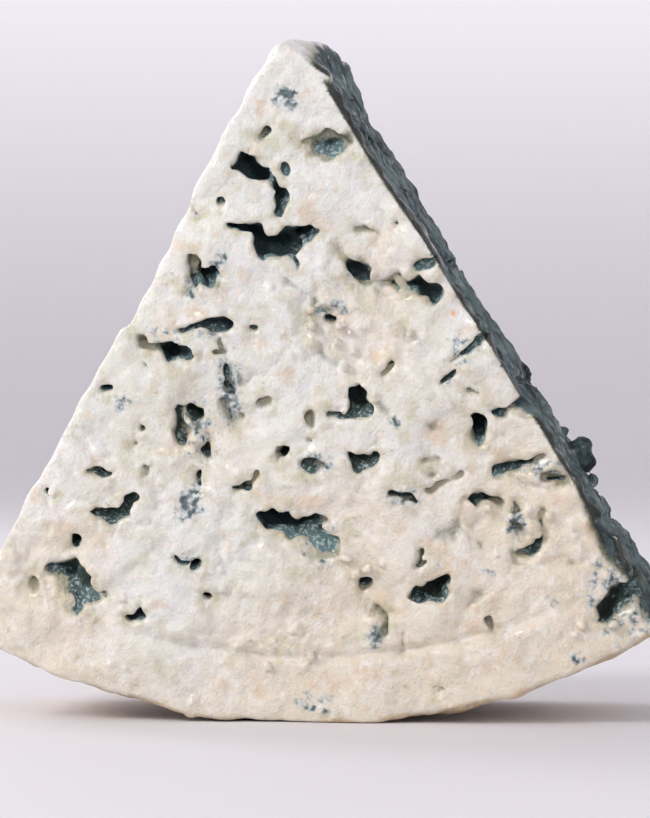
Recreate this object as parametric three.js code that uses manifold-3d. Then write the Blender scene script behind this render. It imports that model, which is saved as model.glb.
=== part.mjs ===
// A wedge of blue-veined cheese, about a sixth of a half wheel, standing on its curved rind
// with its tip up. Millimetres. +X runs along the rind, +Y goes from the level cut through the
// wheel (the front) to the wheel's flat rind (the back), and +Z is up. The origin is on the
// ground, under the middle of the wedge's box.
//
// The wedge is made the way it is cut: a half wheel is turned on a lathe, a sector is cut out
// of it, the rind is pressed flat where the wedge stands, and the larger mould pits are
// scooped out of the three cut faces.

import Module from "manifold-3d";
import * as THREE from "three";
import { mergeVertices } from "three/addons/utils/BufferGeometryUtils.js";

const wasm = await Module();
wasm.setup();

// The half wheel
const WHEEL_RADIUS = 98.6;
const THICKNESS = 45; // from the level cut to the flat rind
const FRONT_RIM_RADIUS = 1; // the cut edge, a little softened
const SHOULDER_RADIUS = 7; // where the flat rind turns into the curved rind
const RIM_STEPS = 4; // segments in each rounded rim
const WHEEL_SEGMENTS = 240;

// The sector. X is measured from the line straight below the wheel's centre.
const FOOT_WIDTH = 20; // the stretch of rind that has settled flat
const APEX_X = -2.9; // where the two side cuts would meet
const APEX_Z = 95.4;
const LEFT_LEAN = THREE.MathUtils.degToRad(28.4); // each side cut's lean from upright
const RIGHT_LEAN = THREE.MathUtils.degToRad(32.3);
const TIP_Z = 92.7; // the tip has crumbled to a blunt end
const TIP_LEFT_Z = 88.6; // where the blunt end leaves each side cut
const TIP_RIGHT_Z = 80;
const TIP_CORNER_X = 3.2; // the blunt end's right corner
const TIP_CORNER_Z = 91.2;
const CUT_DEPTH_BELOW = 20; // how far the sector outline runs on below the ground
const EDGE_RADIUS = 0.8; // the softened edges of the side cuts
const TIP_STEPS = 6;

const CENTRE_Z = Math.sqrt(WHEEL_RADIUS ** 2 - (FOOT_WIDTH / 2) ** 2);

// Mould pits. wide and high are their size across the face, deep is how far they go in, and
// turn is in degrees, anticlockwise as seen from outside the face.
const PIT_SEGMENTS = 14;
const PIT_RINGS = 8;

// On the front, x and z are the pit's middle.
const FRONT_PITS = [
  { x: 3.4, z: 77.7, wide: 6.0, high: 4.2, deep: 2.4, turn: 10 },
  { x: -6.8, z: 74.8, wide: 4.2, high: 3.2, deep: 3.0, turn: -30 },
  { x: -3.2, z: 65.0, wide: 10.5, high: 3.8, deep: 4.0, turn: 5 },
  { x: -14.1, z: 61.0, wide: 4.2, high: 5.2, deep: 3.5, turn: 25 },
  { x: 6.5, z: 61.2, wide: 2.8, high: 3.6, deep: 2.5, turn: 0 },
  { x: 16.0, z: 58.4, wide: 3.4, high: 2.8, deep: 2.2, turn: -10 },
  { x: -18.7, z: 49.6, wide: 5.8, high: 3.6, deep: 3.5, turn: -35 },
  { x: 6.8, z: 44.3, wide: 3.8, high: 5.4, deep: 3.2, turn: 0 },
  { x: 28.7, z: 42.8, wide: 6.0, high: 2.8, deep: 2.8, turn: 0 },
  { x: -15.8, z: 40.8, wide: 3.2, high: 5.6, deep: 2.6, turn: 5 },
  { x: 22.9, z: 39.6, wide: 2.4, high: 3.8, deep: 3.2, turn: 0 },
  { x: 29.4, z: 34.8, wide: 7.8, high: 2.0, deep: 2.2, turn: -4 },
  { x: 23.7, z: 30.0, wide: 3.8, high: 2.4, deep: 2.4, turn: 0 },
  { x: -26.3, z: 28.0, wide: 6.0, high: 2.8, deep: 2.2, turn: 15 },
  { x: -1.4, z: 26.6, wide: 10.2, high: 4.4, deep: 4.2, turn: -22 },
  { x: 30.2, z: 24.8, wide: 4.0, high: 2.8, deep: 2.2, turn: 25 },
  { x: -32.3, z: 18.6, wide: 8.2, high: 4.4, deep: 3.0, turn: -25 },
  { x: 16.4, z: 18.2, wide: 4.8, high: 2.8, deep: 3.2, turn: 30 },
  { x: 9.9, z: 13.4, wide: 3.4, high: 4.6, deep: 2.2, turn: 0 },
  { x: 42.4, z: 17.2, wide: 6.0, high: 7.0, deep: 4.0, turn: 0 },
];

// On the side cuts, along is the way down the cut from the apex and y is across the thickness.
const LEFT_PITS = [
  { along: 22, y: -9, wide: 5.0, high: 3.0, deep: 2.2, turn: 20 },
  { along: 36, y: 6, wide: 8.0, high: 3.6, deep: 3.0, turn: -15 },
  { along: 53, y: -6, wide: 6.4, high: 4.0, deep: 2.8, turn: 5 },
  { along: 67, y: 9, wide: 4.4, high: 3.4, deep: 2.4, turn: 40 },
  { along: 81, y: -3, wide: 7.0, high: 3.4, deep: 2.6, turn: -20 },
];
const RIGHT_PITS = [
  { along: 26, y: 3, wide: 6.6, high: 3.2, deep: 2.6, turn: 10 },
  { along: 41, y: -8, wide: 5.0, high: 3.6, deep: 2.4, turn: -30 },
  { along: 52, y: 8, wide: 7.4, high: 3.8, deep: 3.0, turn: 0 },
  { along: 66, y: -4, wide: 4.8, high: 3.0, deep: 2.2, turn: 35 },
  { along: 79, y: 5, wide: 6.2, high: 3.6, deep: 2.8, turn: -10 },
];

// A closed three.js geometry as a solid that can be joined and cut.
function solidOf(geometry) {
  const bare = geometry.clone();
  bare.deleteAttribute("normal");
  bare.deleteAttribute("uv");
  const merged = mergeVertices(bare, 1e-4);
  return new wasm.Manifold(
    new wasm.Mesh({
      numProp: 3,
      vertProperties: new Float32Array(merged.attributes.position.array),
      triVerts: new Uint32Array(merged.index.array),
    }),
  );
}

function geometryOf(solid) {
  const mesh = solid.getMesh();
  const geometry = new THREE.BufferGeometry();
  geometry.setAttribute("position", new THREE.BufferAttribute(mesh.vertProperties, 3));
  geometry.setIndex(new THREE.BufferAttribute(mesh.triVerts, 1));
  return geometry;
}

// A quarter circle of profile points from one angle to the next, ends included.
function quarterArc(centreX, centreY, radius, startAngle) {
  const points = [];
  for (let i = 0; i <= RIM_STEPS; i += 1) {
    const angle = startAngle + (i / RIM_STEPS) * (Math.PI / 2);
    const x = centreX + radius * Math.cos(angle);
    const y = centreY + radius * Math.sin(angle);
    points.push(new THREE.Vector2(x, y));
  }
  return points;
}

// The half wheel, turned about its own axis, which lies along Y.
function halfWheel() {
  const front = -THICKNESS / 2;
  const back = THICKNESS / 2;
  const frontRimX = WHEEL_RADIUS - FRONT_RIM_RADIUS;
  const shoulderX = WHEEL_RADIUS - SHOULDER_RADIUS;
  const profile = [
    new THREE.Vector2(0, front),
    ...quarterArc(frontRimX, front + FRONT_RIM_RADIUS, FRONT_RIM_RADIUS, -Math.PI / 2),
    ...quarterArc(shoulderX, back - SHOULDER_RADIUS, SHOULDER_RADIUS, 0),
    new THREE.Vector2(0, back),
  ];
  const wheel = new THREE.LatheGeometry(profile, WHEEL_SEGMENTS);
  wheel.translate(0, 0, CENTRE_Z);
  return solidOf(wheel);
}

// The point at a height on a side cut, leaning left (-1) or right (+1) from the apex.
function onSideCut(z, side) {
  const lean = side < 0 ? LEFT_LEAN : RIGHT_LEAN;
  return new THREE.Vector2(APEX_X + side * Math.tan(lean) * (APEX_Z - z), z);
}

// The sector's outline: up the left cut, round the blunt tip and down the right cut.
function sector() {
  const outline = new THREE.Shape();
  const bottomLeft = onSideCut(-CUT_DEPTH_BELOW, -1);
  const bottomRight = onSideCut(-CUT_DEPTH_BELOW, 1);
  const tipLeft = onSideCut(TIP_LEFT_Z, -1);
  const tipRight = onSideCut(TIP_RIGHT_Z, 1);
  const pullRight = onSideCut((TIP_RIGHT_Z + TIP_CORNER_Z) / 2, 1);
  const pullLeft = onSideCut(TIP_Z, -1);
  outline.moveTo(bottomRight.x, bottomRight.y);
  outline.lineTo(tipRight.x, tipRight.y);
  outline.quadraticCurveTo(pullRight.x, pullRight.y, TIP_CORNER_X, TIP_CORNER_Z);
  outline.quadraticCurveTo(TIP_CORNER_X, TIP_Z, 0, TIP_Z);
  outline.quadraticCurveTo(pullLeft.x, pullLeft.y, tipLeft.x, tipLeft.y);
  outline.lineTo(bottomLeft.x, bottomLeft.y);
  outline.closePath();
  const block = new THREE.ExtrudeGeometry(outline, {
    depth: THICKNESS - 2 * EDGE_RADIUS,
    bevelEnabled: true,
    bevelThickness: EDGE_RADIUS,
    bevelSize: EDGE_RADIUS,
    bevelOffset: -EDGE_RADIUS,
    bevelSegments: 2,
    curveSegments: TIP_STEPS,
  });
  block.translate(0, 0, EDGE_RADIUS - THICKNESS / 2);
  block.rotateX(Math.PI / 2);
  return solidOf(block);
}

// Everything below the ground, to press the foot flat.
function belowGround() {
  const slab = new THREE.BoxGeometry(4 * FOOT_WIDTH, 2 * THICKNESS, CUT_DEPTH_BELOW);
  slab.translate(0, 0, -CUT_DEPTH_BELOW / 2);
  return solidOf(slab);
}

// A pit as a ball drawn out to its width along X, its depth along Y and its height along Z.
function pitBall(pit) {
  const ball = new THREE.SphereGeometry(1, PIT_SEGMENTS, PIT_RINGS);
  ball.scale(pit.wide / 2, pit.deep, pit.high / 2);
  ball.rotateY(-THREE.MathUtils.degToRad(pit.turn));
  return ball;
}

function frontPit(pit) {
  const ball = pitBall(pit);
  ball.translate(pit.x, -THICKNESS / 2, pit.z);
  return solidOf(ball);
}

function sidePit(pit, side) {
  const lean = side < 0 ? LEFT_LEAN : RIGHT_LEAN;
  const ball = pitBall(pit);
  ball.rotateZ((side * Math.PI) / 2);
  ball.rotateY(-side * lean);
  const x = APEX_X + side * Math.sin(lean) * pit.along;
  const z = APEX_Z - Math.cos(lean) * pit.along;
  ball.translate(x, pit.y, z);
  return solidOf(ball);
}

function cheeseWedge() {
  let wedge = halfWheel().intersect(sector()).subtract(belowGround());
  for (const pit of FRONT_PITS) wedge = wedge.subtract(frontPit(pit));
  for (const pit of LEFT_PITS) wedge = wedge.subtract(sidePit(pit, -1));
  for (const pit of RIGHT_PITS) wedge = wedge.subtract(sidePit(pit, 1));

  const geometry = geometryOf(wedge);
  geometry.computeBoundingBox();
  const box = geometry.boundingBox;
  geometry.translate(-(box.min.x + box.max.x) / 2, -(box.min.y + box.max.y) / 2, -box.min.z);
  geometry.computeVertexNormals();

  const paste = new THREE.MeshStandardMaterial({ color: 0xe6ded2, roughness: 0.5, metalness: 0 });
  const mesh = new THREE.Mesh(geometry, paste);
  mesh.name = "cheese_wedge";
  return mesh;
}

const cheese = new THREE.Group();
cheese.add(cheeseWedge());

export default cheese;
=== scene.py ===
# %% [markdown]
# # A wedge of blue-veined cheese
#
# The wedge was cut from a half wheel and stands on its curved rind with its tip up. The front
# is the level cut through the wheel, the back is the wheel's flat rind, and the two sides are
# the knife's cuts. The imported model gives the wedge's size and place, and this file makes the
# cheese itself: soft paste, open pits lined with blue mould, and a thin rind.

# %% Load the frame
import itertools
import math

import bpy
import mathutils
import numpy as np
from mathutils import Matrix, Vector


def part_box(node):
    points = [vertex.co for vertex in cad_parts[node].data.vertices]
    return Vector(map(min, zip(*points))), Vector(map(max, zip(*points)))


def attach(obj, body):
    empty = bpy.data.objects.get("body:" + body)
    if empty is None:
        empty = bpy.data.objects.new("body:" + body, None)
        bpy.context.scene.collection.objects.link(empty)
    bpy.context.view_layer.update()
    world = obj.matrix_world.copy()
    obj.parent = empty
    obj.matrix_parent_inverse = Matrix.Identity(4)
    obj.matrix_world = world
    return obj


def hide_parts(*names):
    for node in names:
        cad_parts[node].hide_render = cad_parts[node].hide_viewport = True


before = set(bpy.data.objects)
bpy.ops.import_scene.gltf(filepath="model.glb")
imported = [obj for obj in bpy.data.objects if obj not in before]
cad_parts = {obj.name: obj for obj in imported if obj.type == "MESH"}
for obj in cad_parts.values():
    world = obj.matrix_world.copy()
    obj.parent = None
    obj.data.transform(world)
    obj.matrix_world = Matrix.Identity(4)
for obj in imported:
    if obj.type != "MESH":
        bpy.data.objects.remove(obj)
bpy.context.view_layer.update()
low, high = (np.array(corner) * 1000 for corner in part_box("cheese_wedge"))
print("wedge box in mm:", low.round(1), high.round(1))

# %% [markdown]
# ## The sizes that everything follows
#
# A cheese this soft has no straight edge, but it started from a few: the round wheel, the two
# cuts that meet near the wheel's middle, and the half wheel's thickness. The work below is in
# millimetres, because that is how a pit or a crumb is thought of, and the finished mesh is
# brought to metres. The wheel's axis lies straight above the flat foot.

# %% Driving sizes
MM = 0.001
WHEEL_RADIUS = 98.6
FOOT_X = -0.68
FOOT_WIDTH = 20.0
WHEEL_Z = math.sqrt(WHEEL_RADIUS**2 - (FOOT_WIDTH / 2) ** 2)
APEX = (-3.58, 95.4)
LEFT_LEAN = math.radians(28.4)
RIGHT_LEAN = math.radians(32.3)
FRONT_Y = low[1]
BACK_Y = high[1]
TIP_Z = high[2]
SEED = 7

GRID = 0.31  # spacing of the volume's samples across the front
DEEP_GRID = 0.5  # and further in
FINE_DEPTH = 7.0  # how far in from the front the spacing stays fine
MOST_TRIANGLES = 190_000

# %% [markdown]
# ## A block of samples
#
# The open pits run in under the face, meet each other and leave bridges, which no single
# sheet of a grid can follow. So the cheese is made as a volume instead: every sample in a
# block says how far it is outside (+) or inside (-) the cheese, and the skin is drawn where
# that number is zero. Sculpting would give such a shape too, but not the same one twice.

# %% Sample places
def graded(start, stop, fine_until, fine, coarse):
    """Places from start to stop, fine apart at first, then coarse apart."""
    first = np.arange(start, fine_until, fine)
    rest = np.arange(first[-1] + coarse, stop + coarse, coarse)
    return np.concatenate([first, rest]).astype(np.float32)


MARGIN = 1.3
xs = np.arange(low[0] - MARGIN, high[0] + MARGIN + 2, GRID, dtype=np.float32)
zs = np.arange(low[2] - MARGIN, high[2] + MARGIN, GRID, dtype=np.float32)
ys = graded(FRONT_Y - MARGIN, BACK_Y + MARGIN, FRONT_Y + FINE_DEPTH, GRID, DEEP_GRID)
X = xs[:, None, None]
Y = ys[None, :, None]
Z = zs[None, None, :]
print("samples:", len(xs), len(ys), len(zs))

# %% [markdown]
# ## Noise that is the same each run
#
# Paste, smear and mould are uneven at several sizes at once. A Displace modifier could push a
# finished mesh about with noise, but here the noise has to be in the block before the skin is
# drawn. Random numbers on a coarse lattice, carried to the samples by smooth B-spline weights
# along each axis in turn, give a soft noise of any size, and a seed makes it the same each run.

# %% Lattice noise
LATTICE_GAIN = 2.9  # smoothing shrinks the noise, and this brings its spread back near one


def spline_parts(places, spacing, shift):
    """The first lattice knot each place leans on, and its four cubic B-spline weights.

    With f the place's distance past a knot, they are (1-f)^3/6, (3f^3-6f^2+4)/6,
    (-3f^3+3f^2+3f+1)/6 and f^3/6, which add up to one.
    """
    t = (places - places[0]) / spacing + shift
    first = np.floor(t).astype(int)
    f = (t - first).astype(np.float32)
    cubic = (
        (1 - f) ** 3 / 6,
        (3 * f**3 - 6 * f**2 + 4) / 6,
        (-3 * f**3 + 3 * f**2 + 3 * f + 1) / 6,
        f**3 / 6,
    )
    return first, cubic


def carried(values, axis, first, cubic):
    """Lattice values carried along one axis to the places, as a sum of four knots each."""
    shape = [1, 1, 1]
    shape[axis] = -1
    out = np.take(values, first, axis) * cubic[0].reshape(shape)
    for knot in (1, 2, 3):
        out += np.take(values, first + knot, axis) * cubic[knot].reshape(shape)
    return out


def noise_block(sizes, seed):
    """Smooth noise with features about that many mm across, mean nought, spread near one."""
    rng = np.random.default_rng(SEED * 1000 + seed)
    sizes = np.broadcast_to(sizes, 3)
    parts = [spline_parts(axis, size, rng.random()) for axis, size in zip((xs, ys, zs), sizes)]
    knots = [first[-1] + 4 for first, _ in parts]
    block = rng.standard_normal(knots).astype(np.float32) * LATTICE_GAIN
    for axis, (first, cubic) in enumerate(parts):
        block = carried(block, axis, first, cubic)
    return block


broad = noise_block(9, 1)
rolling = noise_block(4, 2)
curd = noise_block(1.8, 3)
grain = noise_block(0.9, 4)
drag = noise_block((26, 0.9, 26), 11)  # lines along a side cut, where the knife dragged
print("noise spread:", [round(float(n.std()), 2) for n in (broad, rolling, curd, grain, drag)])

# %% [markdown]
# ## Round curds
#
# A wheel is made of curds ladled together and left to drain, and a cut shows them as round
# grains with creases where two of them touch. Noise alone is too shapeless for that, so they
# are drawn as cells: each cube of a grid has a centre thrown at random inside it, and the
# distance to the nearest centre is small on a curd and largest in the gaps between curds.

# %% Curd cells
CELL_TABLE = 48  # the random centres repeat after this many cells
CENTRES = np.random.default_rng(SEED + 1).random((CELL_TABLE,) * 3 + (3,)).astype(np.float32)


def curd_distance(x, y, z, size):
    """Distance to the nearest curd centre, in curd sizes: about 0 on a curd, 0.9 in a gap.

    The nearest centre is looked for in the point's own cube and in the 26 round it.
    """
    in_cells = [np.asarray(axis, dtype=np.float32) / size for axis in (x, y, z)]
    cells = [np.floor(axis).astype(int) for axis in in_cells]
    nearest = np.float32(9)
    for step in itertools.product((-1, 0, 1), repeat=3):
        index = tuple((cell + d) % CELL_TABLE for cell, d in zip(cells, step))
        centre = CENTRES[index]
        away = sum(
            (axis - cell - d - centre[..., n]) ** 2
            for n, (axis, cell, d) in enumerate(zip(in_cells, cells, step))
        )
        nearest = np.minimum(nearest, away)
    return np.sqrt(nearest)


print("curd distance:", curd_distance(xs, xs[::-1], xs * 0, 2.0)[:4].round(2))

# %% [markdown]
# ## The cut wedge
#
# Each cut, the rind and the ground is a surface with a distance of its own. The wedge is
# where all of them are negative, and a soft maximum rounds the edge between two of them. A
# Boolean modifier would cut just as well, but it leaves edges sharper than a soft cheese has.

# %% Distances that meet softly
def soft_max(a, b, width):
    """The larger of two distances, with the crease between them rounded over width.

    It is b + (a - b) h + width h (1 - h), where h goes from 0 to 1 as a passes b.
    """
    h = np.clip(0.5 + 0.5 * (a - b) / width, 0, 1)
    return b + (a - b) * h + width * h * (1 - h)


def smooth_step(a, b, t):
    """0 below a, 1 above b, and a smooth S between them."""
    u = np.clip((t - a) / (b - a), 0, 1)
    return u * u * (3 - 2 * u)


def beyond_cut(x, z, side):
    """How far a point is outside the side cut that leans left (-1) or right (+1).

    The cut is a plane through the apex, so it is the point's offset along the plane's normal.
    """
    lean = LEFT_LEAN if side < 0 else RIGHT_LEAN
    return side * math.cos(lean) * (x - APEX[0]) + math.sin(lean) * (z - APEX[1])


# %% [markdown]
# ## Relief of each face
#
# Each face is made uneven before it meets the others, since paint alone would leave the outline
# straight. The front rolls where the knife smeared it and is lumpy where it tore along the
# curds, with creases between them, and near the rim the paste turns smooth behind a shallow
# groove. The left cut steps in, the right one is drawn out in lines, and the foot alone stays
# flat, because the soft rind has settled on it.

# %% Relief of the front
GROOVE_RADIUS = 89.3
GROOVE_WIDTH = 0.7
GROOVE_DEPTH = 0.7
FRONT_CURD = 3.1  # size of the curds that show, and of the crumbs where the face is torn
FRONT_CRUMB = 1.4
CREASE_CELL = 4.2
CREASE_DEPTH = 0.7

lumpy = smooth_step(-0.9, 0.9, noise_block(12, 5)[:, :1])
torn = smooth_step(-0.5, 1.0, noise_block(8, 8)[:, :1])
across = X + 0.5 * rolling[:, :1] + 0.3 * curd[:, :1]
up = Z + 0.5 * broad[:, :1] + 0.3 * grain[:, :1]
lumps = lumpy * (0.6 - curd_distance(across, FRONT_Y, up, FRONT_CURD)) * 0.85
lumps = lumps + torn * (0.6 - curd_distance(across, FRONT_Y + 40, up, FRONT_CRUMB)) * 0.55
radius = np.hypot(X - FOOT_X, Z - WHEEL_Z)
groove = np.exp(-(((radius - GROOVE_RADIUS) / GROOVE_WIDTH) ** 2)) * smooth_step(-28, -20, X)
groove = groove * smooth_step(34, 24, X)
face_relief = 0.32 * broad + 0.27 * rolling + 0.1 * curd + 0.06 * grain
smeared = smooth_step(GROOVE_RADIUS, GROOVE_RADIUS + 1.5, radius)
lumps = lumps * (1 - 0.6 * smeared) + 0.25 * smeared
patchy = smooth_step(-0.4, 0.8, noise_block(14, 12)[:, :1])
crease = smooth_step(0.66, 0.92, curd_distance(across, FRONT_Y + 20, up, CREASE_CELL))
crease = crease * patchy * (1 - smeared)
front = FRONT_Y - Y - 0.12 + face_relief + GROOVE_DEPTH * groove - lumps + CREASE_DEPTH * crease
print("share of the front in the groove and in creases:")
print([round(float((part > 0.5).mean()), 3) for part in (groove, crease)])

# %% Relief of the other faces
LEDGE_Z = 53.6  # the left cut steps in a little above this height
LEDGE_DEPTH = 0.55
SIDE_CURD = 2.7

back = Y - BACK_Y + 0.35 + 0.25 * broad + 0.16 * rolling + 0.12 * curd + 0.05 * grain
rind = radius - WHEEL_RADIUS + 0.25 + 0.2 * broad + 0.2 * rolling + 0.08 * curd + 0.06 * grain
step_in = LEDGE_DEPTH * smooth_step(LEDGE_Z - 0.4, LEDGE_Z + 0.4, Z) * smooth_step(75, 60, Z)
tip_bulge = 0.012 * np.clip(Z - 80, 0, None) ** 2


def cut_lumps(side):
    """Curds standing proud of a side cut, worked out only in a thin layer along the cut."""
    layer = np.zeros((len(xs), len(ys), len(zs)), dtype=np.float32)
    i, k = np.nonzero(np.abs(beyond_cut(xs[:, None], zs[None, :], side)) < 2.5)
    x, z = xs[i][:, None], zs[k][:, None]
    layer[i, :, k] = (0.6 - curd_distance(x, ys[None, :], z, SIDE_CURD)) * 0.7
    return layer


left = beyond_cut(X, Z, -1) + step_in + 0.18 * rolling + 0.12 * curd + 0.05 * drag
left = left - cut_lumps(-1) * 0.3 * smooth_step(FRONT_Y + 0.5, FRONT_Y + 3, Y)
right = beyond_cut(X, Z, 1) - tip_bulge + 0.15 * broad + 0.2 * rolling + 0.1 * curd
right = right + 0.26 * drag * smooth_step(-1.5, 0.5, rolling) - cut_lumps(1) * 1.3
uneven = (left - beyond_cut(X, Z, -1), right - beyond_cut(X, Z, 1))
print("unevenness of the left and right cuts in mm:", [round(float(u.std()), 2) for u in uneven])

# %% [markdown]
# ## The blunt tip
#
# The tip is the thinnest part, so it has crumbled: the top is a low crown, and a flake has
# broken off its right front corner. Both are one more distance each, met with the others, so
# the broken corner gets the same soft edges and noise as the rest.

# %% Tip and whole outline
FLAKE_POINT = (-1.0, 90.1)
FLAKE_FACING = (0.56, -0.33, 0.76)

crown = Z - TIP_Z - 0.6 + 0.03 * (X + 0.6) ** 2 + 0.2 * rolling + 0.12 * curd
flake = FLAKE_FACING[0] * (X - FLAKE_POINT[0]) + FLAKE_FACING[1] * (Y - FRONT_Y)
flake = flake + FLAKE_FACING[2] * (Z - FLAKE_POINT[1]) + 0.2 * rolling + 0.12 * curd

wedge = soft_max(left, right, 0.8)
wedge = soft_max(wedge, crown, 1.6)
wedge = soft_max(wedge, soft_max(back, rind, 8.0), 1.4)
wedge = soft_max(wedge, front, 1.1)
wedge = soft_max(wedge, flake, 0.7)
wedge = soft_max(wedge, -Z, 0.5).astype(np.float32)
wedge = np.maximum(wedge, FRONT_Y - Y - 0.95)  # no curd stands more than this far proud
sample_volume = GRID * GRID * float(np.diff(ys).mean())
print("cheese volume, about, in ml:", round(float((wedge < 0).sum()) * sample_volume / 1000))

# %% [markdown]
# ## Open pits
#
# Blue mould needs air, so the curd is packed loosely and the wheel is pierced. The gaps left
# between curds are the pits. Each is written down as a chain of circles on the face that it
# opens in: (across, up, radius) at each, and how deep it goes. Between two circles the pit is
# a band whose width changes evenly, and it narrows as it goes in, so a thin tail is shallow
# too. Warping the face's own coordinates with noise first makes the outlines ragged. Between
# the pits are notches, where a small gap opened with no mould in it.

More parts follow.
